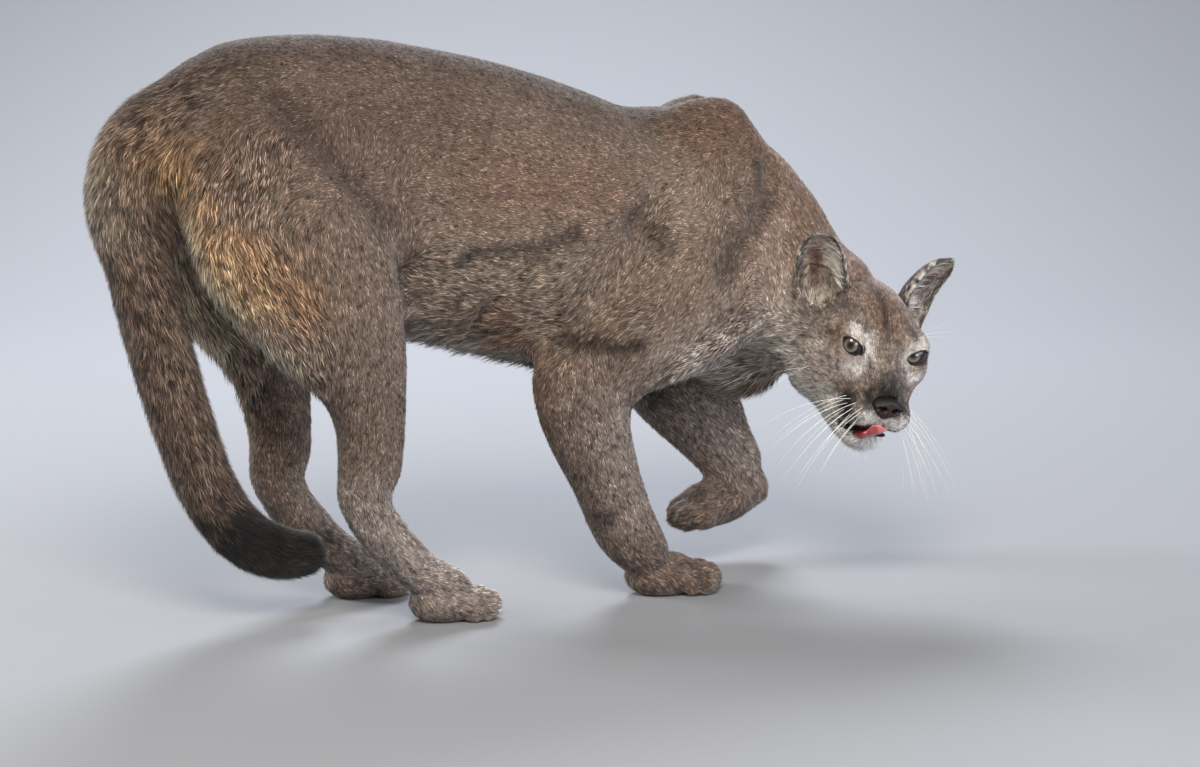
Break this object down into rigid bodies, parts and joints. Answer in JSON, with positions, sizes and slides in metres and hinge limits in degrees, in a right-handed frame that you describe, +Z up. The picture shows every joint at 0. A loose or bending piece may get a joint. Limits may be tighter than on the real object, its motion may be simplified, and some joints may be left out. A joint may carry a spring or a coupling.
{
  "type": "cougar",
  "caption": "Still life-size big cat walking low: hindquarters high, head turned aside and down with the tongue on its lip, one forefoot lifted, long tail hanging.",
  "frame": {"origin": "on the floor, below the middle of the whole animal's box", "axes": "+X is the way the body points, from rump to shoulders; +Y is the animal's left side; +Z is up. The head is turned to its right, towards -Y"},
  "size_m": [1.0472, 0.4104, 0.6798],
  "materials": {
    "head": "short dense fur, grey-brown and tawny, white at the lips and chin",
    "neck": "short dense tawny fur",
    "chest": "short dense tawny fur, paler below",
    "hindquarters": "short dense tawny fur, longer and cream behind the thighs",
    "tail_root": "dense grey-tawny fur",
    "tail_middle": "dense grey-tawny fur",
    "tail_tip": "dense fur, black at the end",
    "shank_right": "short dense tawny fur",
    "shank_left": "short dense tawny fur",
    "hind_foot_right": "short close grey-brown fur",
    "hind_foot_left": "short close grey-brown fur",
    "foreleg_right": "short dense tawny fur",
    "foreleg_left": "short dense tawny fur",
    "forefoot_right": "short close grey-brown fur",
    "forefoot_left": "short close grey-brown fur",
    "ear_right": "short grey-brown fur, dark on the back",
    "ear_left": "short grey-brown fur, dark on the back",
    "eye_right": "wet, clear amber eye with a round pupil",
    "eye_left": "wet, clear amber eye with a round pupil",
    "nose": "dark, finely grained, slightly moist",
    "tongue": "moist pink"
  },
  "bodies": {
    "root": {"head": "head", "neck": "neck", "chest": "chest", "hindquarters": "hindquarters", "tail_root": "tail_root", "tail_middle": "tail_middle", "tail_tip": "tail_tip", "shank_right": "shank_right", "shank_left": "shank_left", "hind_foot_right": "hind_foot_right", "hind_foot_left": "hind_foot_left", "foreleg_right": "foreleg_right", "foreleg_left": "foreleg_left", "forefoot_right": "forefoot_right", "forefoot_left": "forefoot_left", "ear_right": "ear_right", "ear_left": "ear_left", "eye_right": "eye_right", "eye_left": "eye_left", "nose": "nose", "tongue": "tongue"}
  },
  "joints": []
}
